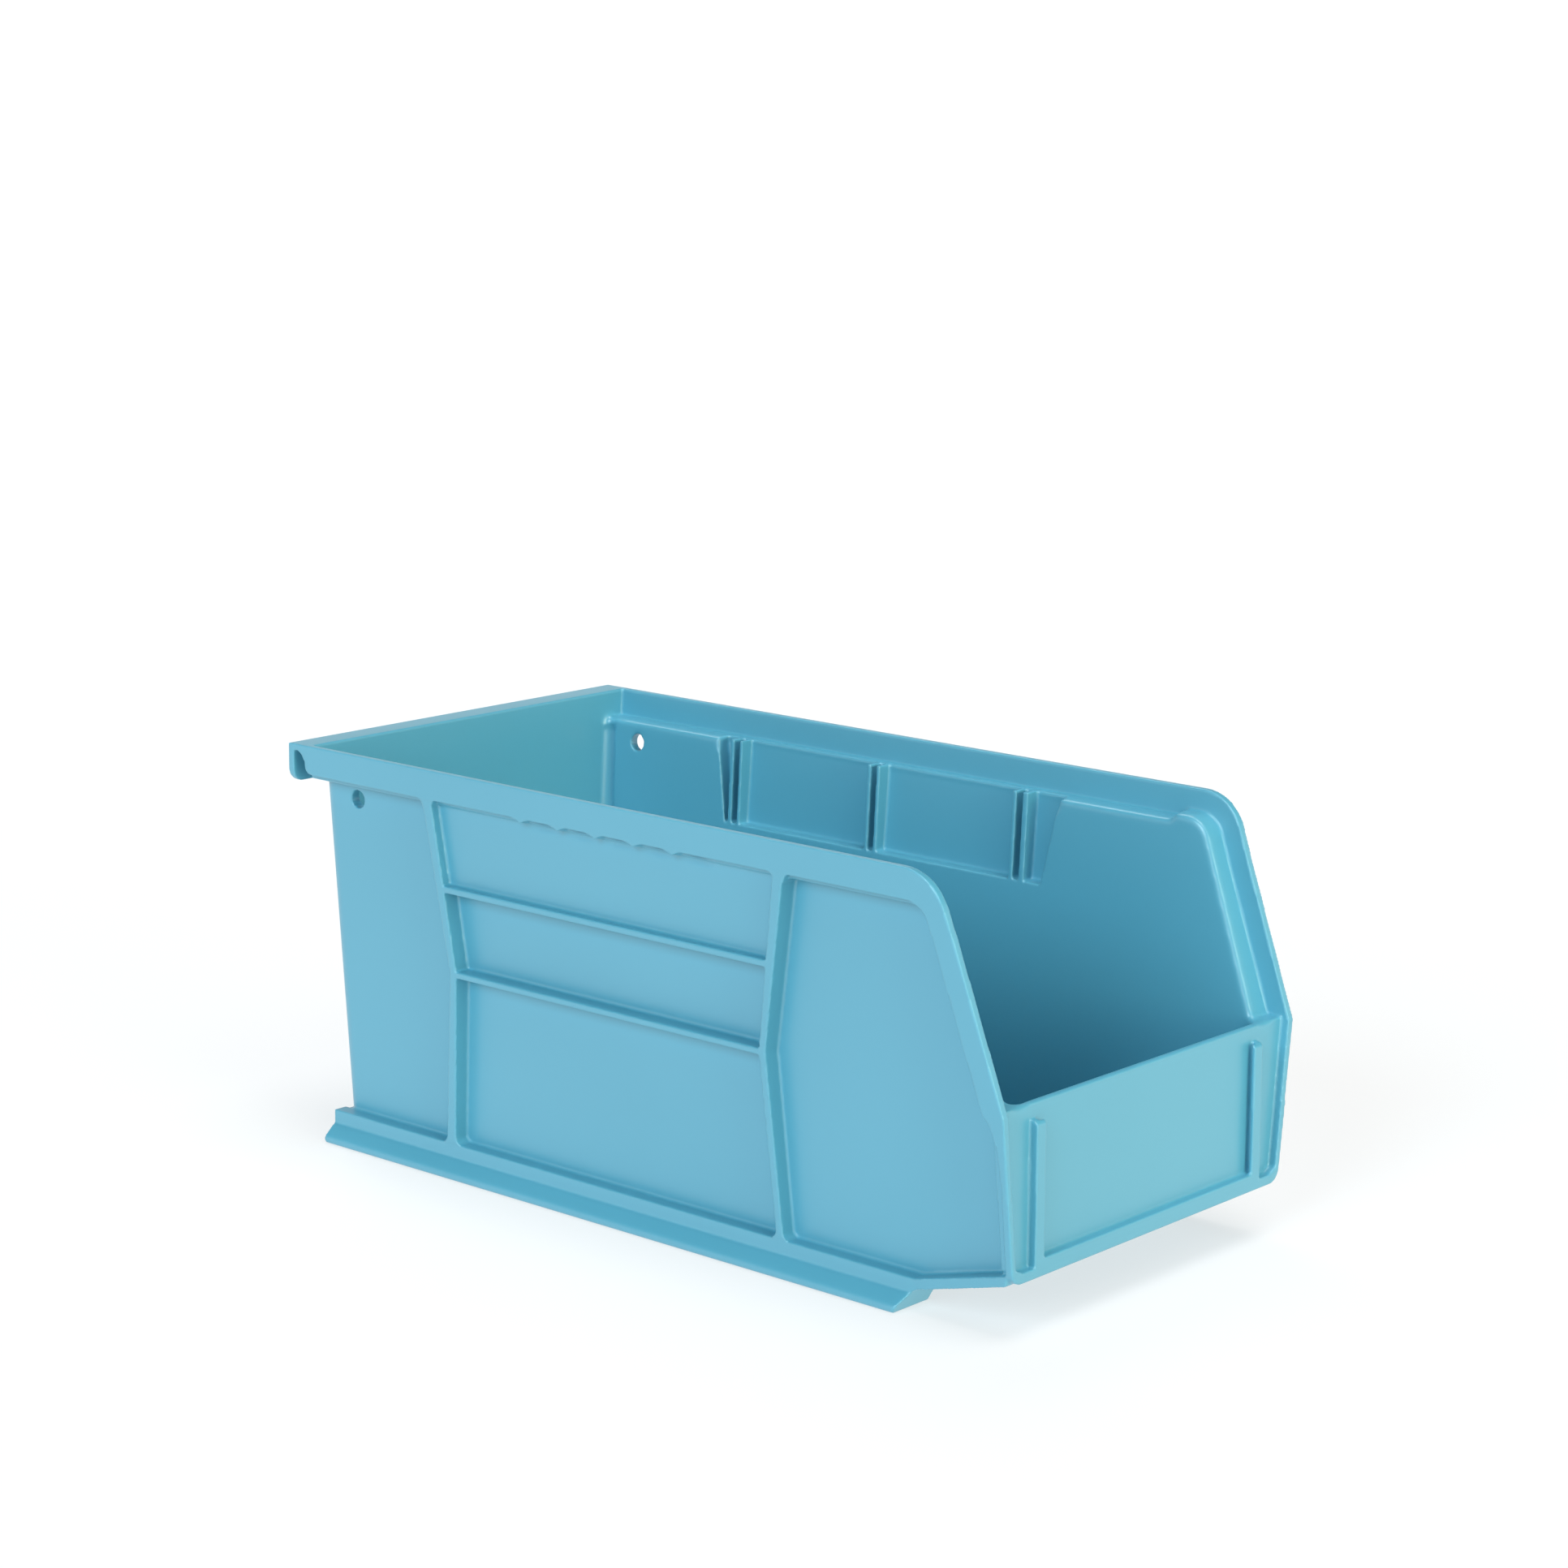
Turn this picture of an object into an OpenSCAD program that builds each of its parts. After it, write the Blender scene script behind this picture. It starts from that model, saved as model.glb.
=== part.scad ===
// Stackable storage bin with an open front, a stacking rim, side ribs, foot rails,
// a card holder on the front and a hanging lip on the rear.
// The real bin is one moulding. Each module is one region of it, and neighbours meet face to face.
// Millimetres, +Z up. The open front faces -Y and the origin is the middle of the footprint at floor level.

/* [Body] */
// Overall length, from the card holder to the hanging lip
length = 276.6; // [272:0.1:284]
// Overall width across the rim
width = 142; // [138:1:148]
// Overall height
height = 127; // [125:1:130]
// Thickness of the floor and of the front and rear walls
wall = 2.2; // [1.8:0.1:2.4]
// Outer radius of the upright rear corners
corner_r = 6; // [4:0.5:7]

/* [Open front] */
// Height at which the sloping sides meet the upright front
front_h = 64; // [62:1:66]
// Distance that the sloping sides run back from the front
slope_run = 23.9; // [22:0.1:26]
// Radius where the rim turns down into the slope
slope_r = 15; // [13:1:16]

/* [Rim] */
// Height of the upright band around the rim
band_h = 9; // [8.5:0.1:9.5]
// Thickness of the band
band_t = 2.5; // [2:0.1:3]
// Height of the band along the sloping sides
slope_band_h = 7; // [6:0.1:7.5]

/* [Side ribs] */
// Height of the lower level rib's underside
lower_rib_z = 63.8; // [60:0.2:68]
// Height of the upper level rib's underside
upper_rib_z = 90; // [86:0.5:92]
// Thickness of the level ribs
level_rib_t = 2; // [1.6:0.1:2.4]

/* [Divider slots] */
// Distance between neighbouring slots
slot_pitch = 57; // [54:0.5:57.5]
// Width of a slot
slot_w = 2.3; // [1.8:0.1:2.8]

/* [Foot rails] */
// Height of the rails
foot_h = 7; // [6:0.1:7.5]
// Width that one rail stands on
foot_w = 15; // [13:0.5:16]

/* [Card holder] */
// Width between the outer sides of the two card ribs
card_holder_w = 107.4; // [100:0.1:112]
// Height of the top of the card ribs
card_rib_top = 60; // [54:1:61]

/* [Hanging lip] */
// Drop of the lip below the rim
lip_drop = 12; // [10:0.5:14]
// Thickness of the lip
lip_t = 2.4; // [2:0.1:2.8]

/* [Side holes] */
// Diameter of the hole through each side
hole_d = 5.6; // [4:0.1:6]

/* [Hidden] */
$fn = 48;

side_colour = "#72B4D2";
front_colour = "#82BFCE";
inner_colour = "#4E9FBC";
foot_colour = "#58A8C6";

half_w = width / 2;
rear_y = length / 2;
nose_y = -length / 2;
far_out = 100;
arc_steps = 12;

// Levels
floor_t = wall + 0.3;
floor_top = foot_h + floor_t;
base_band_top = floor_top + 0.6;
nose_z = 16.2;
nose_band_top = nose_z + 3;
front_top = front_h + 0.6;
shelf_under = front_top - wall;
waist_z = lower_rib_z + 1.2;
recess_floor_z = upper_rib_z + 1.4;
band_under = height - band_h;
ledge_t = 2;
ledge_rise = 0.4;
ledge_top = band_under + ledge_rise;
ledge_under = ledge_top - ledge_t;
rim_shoulder_z = height - 19;

// Plan positions
lip_gap = 4.4;
rear_draft = 2.3;
rear_out = rear_y - lip_t - lip_gap;
foot_rear = rear_out - rear_draft + 0.2;
ledge_rear = rear_out - wall - 0.2;
ramp_run = 35.3;
ramp_start = nose_y + ramp_run;
foot_front = ramp_start + 4;
stop_y = nose_y + 40;
front_draft = 0.6;
front_recess = 2.6;

// The slope, as a line in the side view, and the ledge inside it
kink_y = nose_y + front_draft;
slope_top_y = kink_y + slope_run;
slope_angle = atan2(height - front_h, slope_run);
slope_ledge_top = slope_band_h - ledge_rise;
slope_ledge_under = slope_ledge_top + ledge_t;

// How far each upright face lies inside the rim's edge, at the top of the foot and at the ledge
inner_inset = [15.6, 10.4];
panel_inset = [13.95, 6.85];
rib_inset = [9.05, 0.75];
upper_panel_depth = 3.3;
recess_wall = 1.3;
function leaning(z, inset) =
    half_w - inset[0] + (inset[0] - inset[1]) * (z - floor_top) / (ledge_under - floor_top);
function inner_x(z) = leaning(z, inner_inset);
function panel_x(z) = leaning(z, panel_inset);
function rib_x(z) = leaning(z, rib_inset);
function upper_panel_x(z) = rib_x(z) - upper_panel_depth;
function recess_x(z) = upper_panel_x(z) - recess_wall;

// The rim and the flange below it draw in slightly towards the nose
rim_inset = [[nose_z, 7.6], [front_h, 2.1], [rim_shoulder_z, 1.1], [height, 0]];
function rim_x(z) = half_w - lookup(z, rim_inset);
function rim_in(z) = rim_x(z) - band_t;

// Faces that lean in the side view
function rear_face(z) = rear_out - rear_draft * (height - z) / (height - foot_h);
function front_face(z) = nose_y + front_draft * (z - nose_z) / (front_h - nose_z);
function wall_front(z) = front_face(z) + front_recess;
function wall_back(z) = wall_front(z) + wall;
function slope_y(z, inset) =
    slope_top_y - (height - z) * slope_run / (height - front_h) + inset / sin(slope_angle);
function ramp_z(y) = foot_h + max(0, ramp_start - y) * (nose_z - foot_h) / ramp_run;

// The points of an arc about a centre
function arc(centre, r, from, to, steps = arc_steps) =
    [for (i = [0:steps]) let (turn = from + (to - from) * i / steps) centre + r * [cos(turn), sin(turn)]];

// The hollow arc that fills an inner corner; it meets both faces at a small angle, so no edge is a sliver
fillet_lead = 15;
function fillet_arc(corner, r, turn) =
    let (c = r * cos(fillet_lead), side = cos(turn))
    arc(corner + c * [-side, side], r, turn - fillet_lead, turn - 90 + fillet_lead);

// The rim's turn into the slope, down to end_z, at a drop below the rim and an inset from the slope
function rim_turn(drop, inset, end_z) =
    let (z = height - drop, r = slope_r - inset, y = slope_y(z, inset) + r * tan(slope_angle / 2))
    concat(arc([y, z - r], r, 90, 90 + slope_angle), [[slope_y(end_z, inset), end_z]]);

function backwards(points) = [for (i = [len(points) - 1:-1:0]) points[i]];

// An edge on the right and its mirror image on the left, as one outline
function both_sides(edge) = concat(edge, [for (p = backwards(edge)) [-p[0], p[1]]]);

// Upright ribs in the side view: centre line and width at the ledge, at the waist and at the foot
rib_levels = [ledge_under, waist_z, floor_top];
rear_rib_line = [78.4, 71.6, 77.1];
rear_rib_width = [3.7, 2.7, 3.8];
front_rib_line = [-59.5, -51.1, -55];
front_rib_width = [3.8, 2.5, 2.6];
function rib_edge(line, widths, side, z) =
    lookup(z, [for (i = [2, 1, 0]) [rib_levels[i], line[i] + side * widths[i] / 2]]);
function rear_rib_edge(side, z) = rib_edge(rear_rib_line, rear_rib_width, side, z);
function front_rib_edge(side, z) = rib_edge(front_rib_line, front_rib_width, side, z);

// A side-view outline (y, z) carried from x0 to x1
module along_x(x0, x1) {
    translate([x0, 0, 0]) rotate([90, 0, 90]) linear_extrude(x1 - x0) children();
}

// A front-view outline (x, z) carried from y0 to y1
module along_y(y0, y1) {
    translate([0, y1, 0]) rotate([90, 0, 0]) linear_extrude(y1 - y0) children();
}

// A side-view outline kept between two leaning faces given as front-view points, low to high
module side_solid(outline, inner, outer) {
    intersection() {
        along_x(0, far_out) polygon(outline);
        along_y(-length, length) polygon(concat(inner, backwards(outer)));
    }
}

// The region on the left is the right one mirrored
module on_left() {
    mirror([1, 0, 0]) children();
}

// A closed solid between two outlines of as many points at heights z0 and z1
module lofted(low, high, z0, z1) {
    n = len(low);
    points = concat([for (p = low) [p[0], p[1], z0]], [for (p = high) [p[0], p[1], z1]]);
    sides = [for (i = [0:n - 1]) [i, n + i, n + (i + 1) % n, (i + 1) % n]];
    polyhedron(points, concat([[for (i = [0:n - 1]) i]], sides, [[for (i = [n - 1:-1:0]) n + i]]));
}

// The inner and the outer face of a side panel, as front-view points
function inner_faces(z0, z1) = [[inner_x(z0), z0], [inner_x(z1), z1]];
function panel_faces(z0, z1) = [[panel_x(z0), z0], [panel_x(z1), z1]];

// ---- Floor and end walls ----

module floor_plate() {
    edge = panel_x(floor_top);
    color(inner_colour)
        translate([-edge, ramp_start, foot_h])
            cube([2 * edge, rear_face(floor_top) - ramp_start, floor_t]);
}

module front_ramp() {
    edge = panel_x(floor_top);
    end_y = wall_back(nose_z);
    color(inner_colour)
        along_x(-edge, edge)
            polygon([[ramp_start, foot_h], [ramp_start, floor_top],
                     [end_y, ramp_z(end_y) + floor_t], [end_y, ramp_z(end_y)]]);
}

rear_wall_edge = [
    [panel_x(floor_top) - corner_r, floor_top], [panel_x(ledge_under) - corner_r, ledge_under],
    [rim_in(ledge_under), ledge_under], [rim_in(height), height]
];

module rear_wall() {
    color(inner_colour)
        intersection() {
            along_x(-half_w, half_w)
                polygon([[rear_face(floor_top), floor_top], [rear_face(height), height],
                         [rear_face(height) - wall, height], [rear_face(floor_top) - wall, floor_top]]);
            along_y(0, length)
                polygon(both_sides(rear_wall_edge));
        }
}

// The wall stops short of the flange's outer face, and its lower corners are cut off
module front_wall() {
    side_gap = 1.3;
    cut = [2, 4];
    edge = [[rim_x(nose_z) - side_gap - cut[0], nose_z], [rim_x(nose_z + cut[1]) - side_gap, nose_z + cut[1]],
            [rim_x(front_top) - side_gap, front_top]];
    color(front_colour)
        difference() {
            intersection() {
                along_x(-half_w, half_w)
                    polygon([[wall_front(nose_z), nose_z], [wall_front(front_top), front_top],
                             [wall_back(front_top), front_top], [wall_back(nose_z), nose_z]]);
                along_y(-length, 0)
                    polygon(both_sides(edge));
            }
            for (side = [0, 1])
                mirror([side, 0, 0]) {
                    right_front_flange();
                    right_slope_band();
                    right_base_band();
                }
        }
}

// ---- Corners ----

function rear_corner_outline(z) =
    let (centre = [panel_x(z) - corner_r, rear_face(z) - corner_r])
    concat(arc(centre, corner_r, 0, 90), arc(centre, corner_r - wall, 90, 0));

module right_rear_corner() {
    color(side_colour)
        lofted(rear_corner_outline(floor_top), rear_corner_outline(ledge_under), floor_top, ledge_under);
}
module left_rear_corner() { on_left() right_rear_corner(); }

// A soft fillet inside, between the side and the front wall, which both lean; it stands on the ramp
module right_front_corner() {
    r = 6.4;
    centre = r * cos(fillet_lead);
    leg = centre - r * sin(fillet_lead);
    low = floor_top;
    side_lean = atan2(inner_x(front_top) - inner_x(low), front_top - low);
    wall_lean = atan2(wall_back(front_top) - wall_back(low), front_top - low);
    color(inner_colour)
        intersection() {
            translate([inner_x(low), wall_back(low), low])
                rotate([-wall_lean, side_lean, 0])
                    linear_extrude(height)
                        difference() {
                            translate([-leg, 0]) square(leg);
                            translate([-centre, centre]) circle(r);
                        }
            along_x(0, far_out)
                polygon([[ramp_start, floor_top], [ramp_start, front_top],
                         [nose_y, front_top], [nose_y, nose_z + floor_t]]);
        }
}
module left_front_corner() { on_left() right_front_corner(); }

// ---- Side panels ----

// The hollow behind the upper rib that holds the divider guides, from its floor to the ledge
recess_rear = [75.4, 79.2];
recess_front = [-51.9, -57];
module recess() {
    low = recess_floor_z;
    top = ledge_under;
    side_solid([[recess_rear[0], low], [recess_rear[1], top], [recess_front[1], top], [recess_front[0], low]],
               [[0, low], [0, top]],
               [[recess_x(low), low], [recess_x(top), top]]);
}

// From the rear corner, whose upright edge leans with the rear wall, to the rear rib
hole_y = 115;
hole_z = 111.6;
hole_reach = 20;
module right_rear_panel() {
    low = floor_top;
    top = ledge_under;
    lean = atan2(panel_x(top) - panel_x(low), top - low);
    color(side_colour)
        difference() {
            side_solid([[rear_face(low) - corner_r, low], [rear_face(top) - corner_r, top],
                        [rear_rib_edge(-1, top), top], [rear_rib_edge(-1, waist_z), waist_z],
                        [rear_rib_edge(-1, low), low]],
                       inner_faces(low, top), panel_faces(low, top));
            recess();
            translate([panel_x(hole_z), hole_y, hole_z])
                rotate([0, 90 + lean, 0])
                    cylinder(d = hole_d, h = hole_reach, center = true);
        }
}
module left_rear_panel() { on_left() right_rear_panel(); }

// Between the two upright ribs; above the upper rib its outer face stands further out
module right_middle_panel() {
    low = floor_top;
    top = ledge_under;
    step = upper_rib_z;
    color(side_colour)
        difference() {
            side_solid([[rear_rib_edge(-1, low), low], [rear_rib_edge(-1, waist_z), waist_z],
                        [rear_rib_edge(-1, top), top], [front_rib_edge(1, top), top],
                        [front_rib_edge(1, waist_z), waist_z], [front_rib_edge(1, low), low]],
                       inner_faces(low, top),
                       [[panel_x(low), low], [panel_x(step), step],
                        [upper_panel_x(step), step], [upper_panel_x(top), top]]);
            recess();
        }
}
module left_middle_panel() { on_left() right_middle_panel(); }

// From the front rib to the slope and the front wall, with its foot on the ramp
module right_front_panel() {
    low = floor_top;
    top = ledge_under;
    ramp_end = wall_back(nose_z);
    color(side_colour)
        side_solid(concat([[front_rib_edge(1, top), top]],
                          rim_turn(height - top, slope_ledge_under, shelf_under),
                          [[wall_back(shelf_under), shelf_under],
                           [ramp_end, ramp_z(ramp_end) + floor_t], [ramp_start, low],
                           [front_rib_edge(1, low), low], [front_rib_edge(1, waist_z), waist_z]]),
                   inner_faces(low, top), panel_faces(low, top));
}
module left_front_panel() { on_left() right_front_panel(); }

// ---- Rim ----

// The ledge is cut back over the divider recess, so that dividers slide in from above
module right_stacking_ledge() {
    color(inner_colour)
        difference() {
            along_y(stop_y, ledge_rear)
                polygon([[inner_x(ledge_under), ledge_under], [rim_in(ledge_under), ledge_under],
                         [rim_in(ledge_top), ledge_top], [inner_x(ledge_under), ledge_top]]);
            along_y(recess_front[1], recess_rear[1])
                polygon([[0, 0], [recess_x(ledge_under), 0], [recess_x(ledge_under), height], [0, height]]);
        }
}
module left_stacking_ledge() { on_left() right_stacking_ledge(); }

// The ledge along the slope starts higher than the level one, as a stop for the foot of a stacked bin,
// and ends in a small shelf behind the front wall
module right_slope_ledge() {
    stop_top = height - slope_ledge_top;
    chamfer = 1;
    color(inner_colour)
        side_solid(concat([[stop_y, ledge_under], [stop_y, stop_top - chamfer], [stop_y - chamfer, stop_top]],
                          rim_turn(slope_ledge_top, slope_ledge_top, front_top),
                          [[wall_back(front_top), front_top], [wall_back(shelf_under), shelf_under]],
                          backwards(rim_turn(height - ledge_under, slope_ledge_under, shelf_under))),
                   [for (z = [shelf_under, ledge_under, height]) [inner_x(min(z, ledge_under)), z]],
                   [for (z = [shelf_under, front_h, rim_shoulder_z, height]) [rim_in(z), z]]);
}
module left_slope_ledge() { on_left() right_slope_ledge(); }

// The band's lower rear end is rounded into the hanging channel
module right_rim_band() {
    r = 2.8;
    color(side_colour)
        side_solid(concat([[stop_y, height], [stop_y, band_under]],
                          arc([rear_out - r, band_under + r], r, -90, 0, 6), [[rear_out, height]]),
                   [for (z = [band_under, height]) [rim_in(z), z]],
                   [for (z = [band_under, height]) [rim_x(z), z]]);
}
module left_rim_band() { on_left() right_rim_band(); }

module right_slope_band() {
    levels = [front_h, rim_shoulder_z, height];
    color(side_colour)
        side_solid(concat([[stop_y, height]], rim_turn(0, 0, front_h),
                          backwards(rim_turn(band_h, slope_band_h, front_h)), [[stop_y, band_under]]),
                   [for (z = levels) [rim_in(z), z]], [for (z = levels) [rim_x(z), z]]);
}
module left_slope_band() { on_left() right_slope_band(); }

// The flange that frames the upright front, below the slope
flange_r = 4.5;
module right_front_flange() {
    r = flange_r;
    web_t = 1.4;
    corner_t = 3;
    // How far the flange reaches back at some drops below the kink
    reach = [[5.4, 3.5], [3.4, 10], [front_recess, 20]];
    centre = [rim_x(nose_z + r) - r, nose_z + r];
    color(side_colour)
        intersection() {
            along_x(0, far_out)
                polygon(concat([[nose_y, nose_z], [kink_y, front_h],
                                [slope_y(front_h, slope_band_h), front_h]],
                               [for (p = reach) [nose_y + p[0], front_h - p[1]]],
                               [[nose_y + front_recess, nose_z]]));
            along_y(-length, 0)
                polygon(concat([[rim_x(nose_z) - r, nose_z]], arc(centre, r, -90, -6, 6),
                               [[rim_x(front_h), front_h], [rim_in(front_h), front_h],
                                [rim_x(nose_z) - web_t, nose_z + r],
                                [rim_x(nose_z) - r, nose_z + corner_t]]));
        }
}
module left_front_flange() { on_left() right_front_flange(); }

// A row of shallow finger scallops along the lower edge of the band
module right_finger_grip() {
    pitch = 14.9;
    middle = 9.6;
    depth = 1.8;
    crown = band_under + 0.3;
    r = (pitch * pitch / 4 + depth * depth) / (2 * depth);
    reach = 2.35 * pitch;
    color(side_colour)
        difference() {
            side_solid([[middle - reach, ledge_under], [middle + reach, ledge_under],
                        [middle + reach, band_under], [middle - reach, band_under]],
                       [for (z = [ledge_under, band_under]) [rim_in(z), z]],
                       [for (z = [ledge_under, band_under]) [rib_x(z), z]]);
            for (i = [-2.5:1:2.5])
                translate([0, middle + i * pitch, crown - r])
                    rotate([0, 90, 0])
                        cylinder(r = r, h = far_out, $fn = 240);
        }
}
module left_finger_grip() { on_left() right_finger_grip(); }

// ---- Side ribs ----

// An upright rib standing on the panel, with a fillet on each side where it meets the band and the foot
module upright_rib(line, widths) {
    low = base_band_top;
    top = band_under;
    r = 2.5;
    overlap = 0.6;
    function edge(side, z) = rib_edge(line, widths, side, z);
    intersection() {
        along_x(0, far_out)
            union() {
                polygon([[edge(-1, low), low], [edge(1, low), low],
                         [edge(1, waist_z), waist_z], [edge(1, ledge_under), top],
                         [edge(-1, ledge_under), top], [edge(-1, waist_z), waist_z]]);
                for (side = [-1, 1], end = [-1, 1])
                    translate([edge(side, end < 0 ? low + r : ledge_under), end < 0 ? low : top])
                        scale([side, -end])
                            difference() {
                                translate([-overlap, 0]) square([r + overlap, r]);
                                translate([r, r]) circle(r);
                            }
            }
        along_y(-length, length)
            polygon([[panel_x(low), low], [panel_x(ledge_under), ledge_under],
                     [rim_in(ledge_under), ledge_under], [rim_in(top), top],
                     [rib_x(top), top], [rib_x(low), low]]);
    }
}

module right_rear_rib() {
    color(side_colour)
        difference() {
            upright_rib(rear_rib_line, rear_rib_width);
            recess();
            right_middle_panel();
        }
}
module left_rear_rib() { on_left() right_rear_rib(); }

module right_front_rib() {
    color(side_colour)
        difference() {
            upright_rib(front_rib_line, front_rib_width);
            right_middle_panel();
        }
}
module left_front_rib() { on_left() right_front_rib(); }

// A level rib between the two upright ones, from base_low and base_high out to the ribs' face
module level_rib(z0, base_low, base_high) {
    z1 = z0 + level_rib_t;
    side_solid([[rear_rib_edge(-1, z0), z0], [rear_rib_edge(-1, z1), z1],
                [front_rib_edge(1, z1), z1], [front_rib_edge(1, z0), z0]],
               [[base_low, z0], [base_high, z1]],
               [[rib_x(z0), z0], [rib_x(z1), z1]]);
}

module right_upper_rib() {
    z = upper_rib_z;
    color(side_colour) level_rib(z, upper_panel_x(z), upper_panel_x(z + level_rib_t));
}
module left_upper_rib() { on_left() right_upper_rib(); }

module right_lower_rib() {
    z = lower_rib_z;
    color(side_colour) level_rib(z, panel_x(z), panel_x(z + level_rib_t));
}
module left_lower_rib() { on_left() right_lower_rib(); }

// ---- Divider guides ----

// Each slot lies between two thin ribs that stand on the floor of the recess
module right_divider_guides() {
    first_slot = 71.5;
    rear_guide_t = 1.4;
    front_guide_t = [1.2, 1.2, 2];
    low = recess_floor_z;
    color(inner_colour)
        for (i = [0:2], side = [-1, 1]) {
            t = side < 0 ? front_guide_t[i] : rear_guide_t;
            y = first_slot - i * slot_pitch + side * (slot_w + t) / 2;
            side_solid([[y - t / 2, low], [y + t / 2, low], [y + t / 2, ledge_top], [y - t / 2, ledge_top]],
                       inner_faces(low, ledge_top),
                       [[recess_x(low), low], [recess_x(ledge_under), ledge_under],
                        [recess_x(ledge_under), ledge_top]]);
        }
}
module left_divider_guides() { on_left() right_divider_guides(); }

// ---- Base ----

// The base band stands out from the side, a little further towards the nose
base_band_w = 4.8;
base_band_under = foot_h - 1.2;
nose_spread = 1.6;
function base_band_x(y) =
    panel_x(floor_top) + base_band_w + max(0, ramp_start - y) * nose_spread / ramp_run;

// The band around the foot of the side panels, level and then rising with the ramp
module right_base_band() {
    end_y = wall_front(nose_z);
    edge = panel_x(floor_top);
    nose_lift = 0.4;
    rise = nose_z - foot_h - nose_lift;
    end_top = base_band_top + rise;
    bend = 1;
    color(foot_colour)
        intersection() {
            linear_extrude(far_out)
                polygon([[0, foot_rear], [0, end_y], [base_band_x(end_y), end_y],
                         [base_band_x(ramp_start), ramp_start], [base_band_x(foot_rear), foot_rear]]);
            side_solid([[foot_rear, base_band_under], [foot_rear, base_band_top], [ramp_start, base_band_top],
                        [end_y, end_top], [end_y, foot_h + rise],
                        [ramp_start - bend, foot_h], [ramp_start + bend, base_band_under]],
                       [[edge, base_band_under], [edge, floor_top], [panel_x(end_top), end_top]],
                       [[far_out, base_band_under], [far_out, end_top]]);
        }
}
module left_base_band() { on_left() right_base_band(); }

// A hollow rail, open below, that flares outward to stand in the rim of the bin beneath
module right_foot_rail() {
    edge = panel_x(floor_top);
    band = edge + base_band_w;
    flare = 4.4;
    toe = 1.4;
    outer = band + flare;
    toe_step = 0.4;
    toe_z = 1.5;
    neck = 1;
    neck_drop = 0.6;
    inner = outer - toe - foot_w;
    skin = 2.2;
    skirt_in = outer - skin - neck;
    roof_t = 1.8;
    ceiling = base_band_under - roof_t;
    front_rake = 4;
    color(foot_colour)
        difference() {
            intersection() {
                along_y(foot_front - front_rake, foot_rear)
                    polygon([[inner, 0], [outer - toe, 0], [outer - toe_step, toe_step],
                             [outer, toe_z], [outer - toe_step, 2 * toe_z - toe_step],
                             [band + neck, base_band_under - neck_drop],
                             [band, base_band_under], [edge, base_band_under],
                             [edge, foot_h], [inner, foot_h]]);
                along_x(0, far_out)
                    polygon([[foot_front, 0], [foot_front - front_rake, foot_h],
                             [foot_rear, foot_h], [foot_rear, 0]]);
            }
            along_y(foot_front + skin, foot_rear - skin)
                polygon([[inner + skin, -neck], [skirt_in, -neck], [skirt_in, toe_z],
                         [band - neck, ceiling], [inner + skin, ceiling]]);
        }
}
module left_foot_rail() { on_left() right_foot_rail(); }

// ---- Card holder ----

card_slot_low = nose_band_top + 2.1;
card_rib_w = 4.2;

// A raised band across the front wall between two heights, flush with the flange
module front_band(z0, z1, edge) {
    intersection() {
        along_x(-edge, edge)
            polygon([[front_face(z0), z0], [front_face(z1), z1], [wall_front(z1), z1], [wall_front(z0), z0]]);
        along_y(-length, 0) translate([-edge, z0]) square([2 * edge, z1 - z0]);
    }
}

module front_base_band() {
    color(front_colour) front_band(nose_z, nose_band_top, rim_x(nose_z) - flange_r);
}

module card_ledge() {
    color(front_colour) front_band(nose_band_top, card_slot_low, card_holder_w / 2 - card_rib_w);
}

// The rib's inner side is undercut, so that a card slides down behind its edge
module right_card_rib() {
    outer = card_holder_w / 2;
    inner = outer - card_rib_w;
    chamfer = 1;
    undercut = 2;
    lip = 1.2;
    low = nose_band_top;
    top = card_rib_top;
    color(front_colour)
        difference() {
            along_x(inner, outer)
                polygon([[front_face(low), low], [front_face(top - chamfer), top - chamfer],
                         [front_face(top) + chamfer, top], [wall_front(top), top], [wall_front(low), low]]);
            along_x(inner - chamfer, inner + undercut)
                polygon([[front_face(card_slot_low) + lip, card_slot_low],
                         [front_face(top) + lip, top + chamfer],
                         [wall_back(top), top + chamfer], [wall_back(card_slot_low), card_slot_low]]);
        }
}
module left_card_rib() { on_left() right_card_rib(); }

// ---- Hanging lip ----

lip_edge = half_w - 0.1;

// The bridge from the rim to the lip, with a fillet inside the channel
module hanger_top() {
    ceiling = height - 2;
    fillet_r = 4.2;
    color(side_colour)
        along_x(-lip_edge, lip_edge)
            polygon(concat([[rear_out, height]], fillet_arc([rear_out, ceiling], fillet_r, 180),
                           [[rear_y - lip_t, ceiling], [rear_y - lip_t, height]]));
}

module hanging_lip() {
    r = 4;
    low = height - lip_drop;
    color(side_colour)
        along_y(rear_y - lip_t, rear_y)
            polygon(concat([[-lip_edge, height]], arc([-lip_edge + r, low + r], r, 180, 270, 6),
                           arc([lip_edge - r, low + r], r, 270, 360, 6), [[lip_edge, height]]));
}

floor_plate();
front_ramp();
rear_wall();
front_wall();
left_rear_corner();
right_rear_corner();
left_rear_panel();
right_rear_panel();
left_middle_panel();
right_middle_panel();
left_front_panel();
right_front_panel();
left_front_corner();
right_front_corner();
left_stacking_ledge();
right_stacking_ledge();
left_slope_ledge();
right_slope_ledge();
left_rim_band();
right_rim_band();
left_slope_band();
right_slope_band();
left_front_flange();
right_front_flange();
left_finger_grip();
right_finger_grip();
left_rear_rib();
right_rear_rib();
left_front_rib();
right_front_rib();
left_upper_rib();
right_upper_rib();
left_lower_rib();
right_lower_rib();
left_divider_guides();
right_divider_guides();
left_base_band();
right_base_band();
left_foot_rail();
right_foot_rail();
front_base_band();
card_ledge();
left_card_rib();
right_card_rib();
hanger_top();
hanging_lip();
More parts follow.
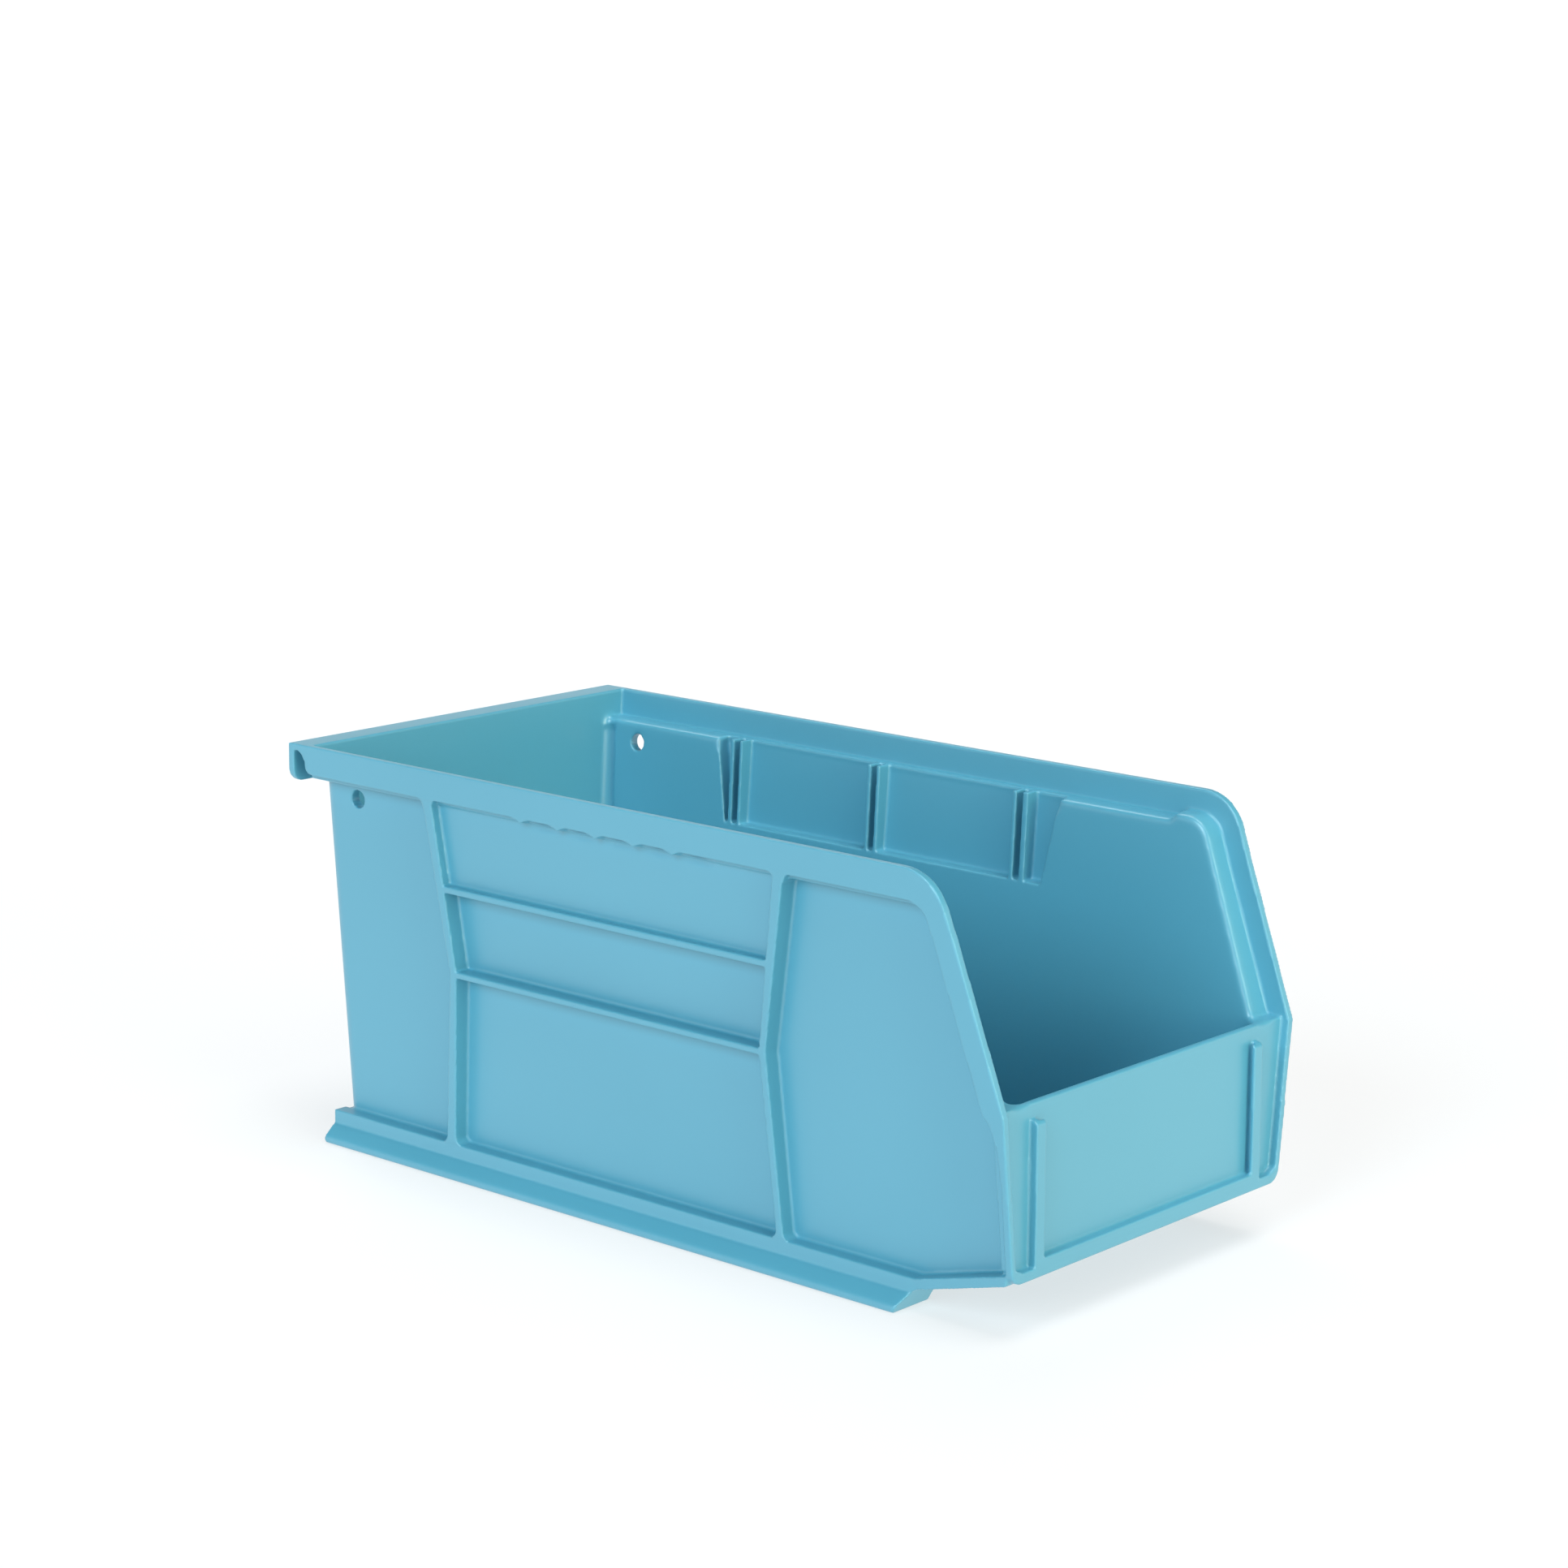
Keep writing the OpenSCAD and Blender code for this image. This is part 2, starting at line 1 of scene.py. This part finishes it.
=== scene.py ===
"""Looks of the stackable storage bin: one moulding with soft edges, shown as its named regions."""

import math

import bmesh
import bpy
import numpy as np
from mathutils import Matrix, Vector
from mathutils.bvhtree import BVHTree
from mathutils.kdtree import KDTree


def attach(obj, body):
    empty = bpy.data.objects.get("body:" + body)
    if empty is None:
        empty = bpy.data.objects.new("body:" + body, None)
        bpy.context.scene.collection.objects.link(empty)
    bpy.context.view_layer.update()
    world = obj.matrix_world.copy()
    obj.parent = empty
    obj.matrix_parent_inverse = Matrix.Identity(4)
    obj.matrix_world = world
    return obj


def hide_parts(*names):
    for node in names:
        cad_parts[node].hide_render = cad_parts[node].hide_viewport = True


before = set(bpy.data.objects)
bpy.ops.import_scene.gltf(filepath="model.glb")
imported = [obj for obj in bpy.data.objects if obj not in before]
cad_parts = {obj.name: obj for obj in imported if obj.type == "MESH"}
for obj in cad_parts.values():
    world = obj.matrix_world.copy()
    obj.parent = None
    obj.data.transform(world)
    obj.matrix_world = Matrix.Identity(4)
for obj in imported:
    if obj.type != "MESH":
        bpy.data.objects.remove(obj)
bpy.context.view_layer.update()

MM = 0.001

# The soft skin: a voxel body, smoothed and then lightened
VOXEL = 0.4 * MM
SMOOTH_FACTOR = 0.5
SMOOTH_ROUNDS = 3
KEEP_FACES = 0.2
SKIN_DEPTH = 0.45 * MM
TINY = 1e-20

# The inner edges of the ledges, rounded more than the rest except over the divider recess
LEDGES = ["left_slope_ledge", "left_stacking_ledge", "right_slope_ledge", "right_stacking_ledge"]
LEDGE_REACH = 4.5 * MM
LEDGE_PULL = 1.6
LEDGE_ROUNDS = 100
WELD = 0.001 * MM
FACES_INWARD = 0.9
FACES_UPWARD = 0.3
EDGE_STEP = 0.5 * MM
RECESS = (-58 * MM, 80 * MM)

# The fingertip hollows in the side panels, one beneath each scallop of the rim: their places along the
# bin, half width, top, height and depth, and how far from the bin's middle the panels' outer faces lie
SCALLOP_PITCH = 14.9 * MM
SCALLOP_MIDDLE = 2.1 * MM
SCALLOPS = [SCALLOP_MIDDLE + step * SCALLOP_PITCH for step in range(-2, 3)]
SCALLOP_HALF = 7.2 * MM
SCALLOP_CROWN = 118.6 * MM
SCALLOP_DROP = 4.6 * MM
SCALLOP_DEPTH = 1.6 * MM
PANEL_SIDE = (65.9 * MM, 69.6 * MM)


# ---- The moulding ----


def apply_modifiers(obj):
    """Replaces the object's mesh with what its modifiers make of it."""
    depsgraph = bpy.context.evaluated_depsgraph_get()
    made = bpy.data.meshes.new_from_object(obj.evaluated_get(depsgraph))
    obj.modifiers.clear()
    obj.data = made


def ledge_edge_points():
    """Points along the ledges' inner edges, which the real moulding rounds more than its other edges.

    Over the divider recess the edge stays crisp.
    """
    points = []
    for name in LEDGES:
        side = 1 if name.startswith("right") else -1
        cad = bmesh.new()
        cad.from_mesh(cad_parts[name].data)
        bmesh.ops.remove_doubles(cad, verts=cad.verts, dist=WELD)
        cad.normal_update()
        for edge in cad.edges:
            if len(edge.link_faces) != 2:
                continue
            a, b = (face.normal for face in edge.link_faces)
            inward = min(a.x * side, b.x * side) < -FACES_INWARD
            upward = max(a.z, b.z) > FACES_UPWARD
            if not (inward and upward):
                continue
            start, stop = (vertex.co for vertex in edge.verts)
            if RECESS[0] < (start.y + stop.y) / 2 < RECESS[1]:
                continue
            steps = max(1, math.ceil((stop - start).length / EDGE_STEP))
            points += [start.lerp(stop, i / steps) for i in range(steps + 1)]
        cad.free()
    return points


def weigh_ledge_edges(obj):
    """A vertex group that fades out with the distance from the ledges' inner edges."""
    edge_points = ledge_edge_points()
    near = KDTree(len(edge_points))
    for index, point in enumerate(edge_points):
        near.insert(point, index)
    near.balance()
    group = obj.vertex_groups.new(name="ledge_edges")
    lowest = min(point.z for point in edge_points) - LEDGE_REACH
    for vertex in obj.data.vertices:
        if vertex.co.z < lowest:
            continue
        distance = near.find(vertex.co)[2]
        if distance < LEDGE_REACH:
            weight = min(1, LEDGE_PULL * (1 - distance / LEDGE_REACH))
            group.add([vertex.index], weight, "REPLACE")
    return group.name


def press_scallops(obj):
    """Presses a shallow fingertip hollow into the side panels beneath each scallop of the rim."""
    count = len(obj.data.vertices)
    points, normals = np.empty(count * 3), np.empty(count * 3)
    obj.data.vertices.foreach_get("co", points)
    obj.data.vertices.foreach_get("normal", normals)
    points, normals = points.reshape(-1, 3), normals.reshape(-1, 3)
    side = np.sign(points[:, 0])
    outward = np.maximum(normals[:, 0] * side, 0)
    down = (SCALLOP_CROWN - points[:, 2]) / SCALLOP_DROP
    along = np.abs(points[:, 1, None] - np.array(SCALLOPS)).min(axis=1) / SCALLOP_HALF
    reach = np.abs(points[:, 0])
    near = (reach > PANEL_SIDE[0]) & (reach < PANEL_SIDE[1]) & (down >= 0) & (down < 1) & (along < 1)
    push = SCALLOP_DEPTH * outward * (1 - down) * np.cos(along * math.pi / 2)
    points[near, 0] -= (side * push)[near]
    obj.data.vertices.foreach_set("co", points.ravel())


def soften(obj, name, rounds, group=""):
    """Adds a smoothing modifier."""
    smooth = obj.modifiers.new(name, "SMOOTH")
    smooth.factor = SMOOTH_FACTOR
    smooth.iterations = rounds
    smooth.vertex_group = group


def whole_moulding():
    """All the CAD regions as one body with softly rounded edges and inner corners."""
    joined = bmesh.new()
    for name in sorted(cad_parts):
        joined.from_mesh(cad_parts[name].data)
    mesh = bpy.data.meshes.new("moulding")
    joined.to_mesh(mesh)
    joined.free()
    obj = bpy.data.objects.new("moulding", mesh)
    bpy.context.scene.collection.objects.link(obj)

    remesh = obj.modifiers.new("join", "REMESH")
    remesh.mode = "VOXEL"
    remesh.voxel_size = VOXEL
    apply_modifiers(obj)
    press_scallops(obj)
    edges = weigh_ledge_edges(obj)
    soften(obj, "soften", SMOOTH_ROUNDS)
    soften(obj, "soften_ledges", LEDGE_ROUNDS, edges)
    decimate = obj.modifiers.new("lighten", "DECIMATE")
    decimate.ratio = KEEP_FACES
    apply_modifiers(obj)
    return obj


def mesh_arrays(mesh):
    """Points and triangles of a mesh."""
    mesh.calc_loop_triangles()
    points = np.empty(len(mesh.vertices) * 3)
    mesh.vertices.foreach_get("co", points)
    triangles = np.empty(len(mesh.loop_triangles) * 3, dtype=np.int64)
    mesh.loop_triangles.foreach_get("vertices", triangles)
    return points.reshape(-1, 3), triangles.reshape(-1, 3)


def corner_normals(points, triangles):
    """A normal at each point, weighted by area so that flat faces stay flat."""
    a, b, c = (points[triangles[:, i]] for i in range(3))
    area_normals = np.cross(b - a, c - a)
    normals = np.zeros_like(points)
    for corner in range(3):
        np.add.at(normals, triangles[:, corner], area_normals)
    lengths = np.linalg.norm(normals, axis=1, keepdims=True)
    return normals / np.maximum(lengths, TINY)


def nearest_nodes(points, triangles):
    """The names of the CAD regions, and the one that each triangle lies on."""
    names = sorted(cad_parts)
    all_points, all_triangles, node_of = [], [], []
    for index, name in enumerate(names):
        cad_points, cad_triangles = mesh_arrays(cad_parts[name].data)
        all_triangles += (cad_triangles + len(all_points)).tolist()
        all_points += cad_points.tolist()
        node_of += [index] * len(cad_triangles)
    tree = BVHTree.FromPolygons(all_points, all_triangles)
    middles = points[triangles].mean(axis=1)
    owner = [node_of[tree.find_nearest(middle)[2]] for middle in middles.tolist()]
    return names, np.array(owner)


def closed_skin(points, normals, triangles):
    """A closed shell: the surface, the same surface pushed inward, and a wall around its border."""
    used, local = np.unique(triangles, return_inverse=True)
    local = local.reshape(-1, 3)
    count = len(used)
    shell_points = np.vstack([points[used], points[used] - SKIN_DEPTH * normals[used]])
    shell_normals = np.vstack([normals[used], -normals[used]])
    edges = np.vstack([local[:, [0, 1]], local[:, [1, 2]], local[:, [2, 0]]])
    keys = np.sort(edges, axis=1)
    _, first, times = np.unique(keys, axis=0, return_index=True, return_counts=True)
    border = edges[first[times == 1]]
    walls = [(int(b), int(a), int(a) + count, int(b) + count) for a, b in border]
    faces = local.tolist() + (local[:, ::-1] + count).tolist() + walls
    return shell_points, shell_normals, faces


def skin_pieces(moulding):
    """Cuts the moulding's surface into one closed, named piece for each CAD region."""
    points, triangles = mesh_arrays(moulding.data)
    normals = corner_normals(points, triangles)
    names, owner = nearest_nodes(points, triangles)
    bpy.data.objects.remove(moulding)
    for index, name in enumerate(names):
        own = triangles[owner == index]
        if len(own) == 0:
            continue
        shell_points, shell_normals, faces = closed_skin(points, normals, own)
        mesh = bpy.data.meshes.new(name + "_finish")
        mesh.from_pydata(shell_points.tolist(), [], faces)
        mesh.shade_smooth()
        mesh.normals_split_custom_set_from_vertices(shell_normals.tolist())
        piece = bpy.data.objects.new(name + "_finish", mesh)
        bpy.context.scene.collection.objects.link(piece)
        piece.data.materials.append(plastic)
        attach(piece, "root")
        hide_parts(name)


# ---- Material ----


def noise(nodes, links, place, scale, detail):
    """Noise laid out in the object's own space."""
    texture = nodes.new("ShaderNodeTexNoise")
    texture.inputs["Scale"].default_value = scale
    texture.inputs["Detail"].default_value = detail
    links.new(place.outputs["Object"], texture.inputs["Vector"])
    return texture.outputs["Fac"]


def set_ramp(ramp, *stops):
    """Sets a colour ramp's stops, each a position and a colour."""
    for element, (position, colour) in zip(ramp.color_ramp.elements, stops):
        element.position = position
        element.color = (*colour, 1)


def bin_plastic():
    """Blue polypropylene: a soft sheen with a very fine mould grain."""
    material = bpy.data.materials.new("bin_plastic")
    material.use_nodes = True
    nodes = material.node_tree.nodes
    links = material.node_tree.links
    shader = nodes["Principled BSDF"]
    place = nodes.new("ShaderNodeTexCoord")

    flow = noise(nodes, links, place, scale=9, detail=2)
    colour = nodes.new("ShaderNodeValToRGB")
    set_ramp(colour, (0.3, (0.087, 0.338, 0.458)), (0.7, (0.095, 0.356, 0.480)))
    links.new(flow, colour.inputs["Fac"])
    links.new(colour.outputs["Color"], shader.inputs["Base Color"])

    grain = noise(nodes, links, place, scale=1800, detail=3)
    bump = nodes.new("ShaderNodeBump")
    bump.inputs["Strength"].default_value = 0.05
    bump.inputs["Distance"].default_value = 0.03 * MM
    links.new(grain, bump.inputs["Height"])
    links.new(bump.outputs["Normal"], shader.inputs["Normal"])

    wear = noise(nodes, links, place, scale=60, detail=4)
    gloss = nodes.new("ShaderNodeMapRange")
    gloss.inputs["To Min"].default_value = 0.30
    gloss.inputs["To Max"].default_value = 0.38
    links.new(wear, gloss.inputs["Value"])
    links.new(gloss.outputs["Result"], shader.inputs["Roughness"])
    shader.inputs["IOR"].default_value = 1.49
    shader.inputs["Specular IOR Level"].default_value = 0.9
    return material


# ---- Camera, floor and light ----


def camera():
    """The camera at the photograph's place and angle."""
    focal, sensor = 85.03, 36
    place = (-0.8143, -0.7020, 0.3468)
    yaw, pitch, roll = (math.radians(a) for a in (-49.278, 11.727, 0.762))
    forward = Vector((-math.sin(yaw) * math.cos(pitch), math.cos(yaw) * math.cos(pitch), -math.sin(pitch)))
    right = Vector((math.cos(yaw), math.sin(yaw), 0))
    up = right.cross(forward)
    turned_right = math.cos(roll) * right + math.sin(roll) * up
    turned_up = -math.sin(roll) * right + math.cos(roll) * up
    data = bpy.data.cameras.new("camera")
    data.lens = focal
    data.sensor_width = sensor
    obj = bpy.data.objects.new("camera", data)
    bpy.context.scene.collection.objects.link(obj)
    turn = Matrix((turned_right, turned_up, -forward)).transposed().to_4x4()
    obj.matrix_world = Matrix.Translation(place) @ turn
    bpy.context.scene.camera = obj


def floor():
    """A plain pale floor, too wide for its edge to be seen."""
    bpy.ops.mesh.primitive_plane_add(size=80, location=(0, 0, 0))
    obj = bpy.context.object
    obj.name = "floor"
    material = bpy.data.materials.new("floor")
    material.use_nodes = True
    shader = material.node_tree.nodes["Principled BSDF"]
    shader.inputs["Base Color"].default_value = (0.35, 0.35, 0.35, 1)
    shader.inputs["Emission Color"].default_value = (1, 1, 1, 1)
    shader.inputs["Emission Strength"].default_value = 0.62
    shader.inputs["Roughness"].default_value = 0.9
    shader.inputs["Specular IOR Level"].default_value = 0.1
    obj.data.materials.append(material)


def sun(name, place, strength, spread, colour=(1, 1, 1)):
    """A soft distant light that shines from a place towards the middle."""
    data = bpy.data.lights.new(name, "SUN")
    data.energy = strength
    data.angle = math.radians(spread)
    data.color = colour
    obj = bpy.data.objects.new(name, data)
    bpy.context.scene.collection.objects.link(obj)
    obj.location = place
    obj.rotation_euler = (-Vector(place)).to_track_quat("-Z", "Y").to_euler()


def white_surround():
    """A world that is white around the horizon and dark overhead."""
    world = bpy.data.worlds.new("studio")
    world.use_nodes = True
    nodes = world.node_tree.nodes
    links = world.node_tree.links
    place = nodes.new("ShaderNodeTexCoord")
    split = nodes.new("ShaderNodeSeparateXYZ")
    height = nodes.new("ShaderNodeValToRGB")
    set_ramp(height, (0.15, (1, 0.95, 0.90)), (0.4, (0.02, 0.02, 0.02)))
    links.new(place.outputs["Generated"], split.inputs["Vector"])
    links.new(split.outputs["Z"], height.inputs["Fac"])
    links.new(height.outputs["Color"], nodes["Background"].inputs["Color"])
    nodes["Background"].inputs["Strength"].default_value = 1.15
    bpy.context.scene.world = world


def studio():
    """Soft light from the front, the near side and above, in a white surround."""
    white_surround()
    sun("front", (-0.1, -1, 0.12), 1.8, 30, (0.85, 1, 0.78))
    sun("front_high", (-0.1, -0.7, 0.75), 0.5, 30)
    sun("near_side", (-0.9, -0.1, 0.5), 2.0, 28, (0.72, 0.90, 1))
    sun("overhead", (0, -0.2, 1), 1.4, 30)
    sun("far_side", (0.3, 0.5, 0.8), 0.65, 30)
    bpy.context.scene.view_settings.view_transform = "Standard"


plastic = bin_plastic()
skin_pieces(whole_moulding())
camera()
floor()
studio()
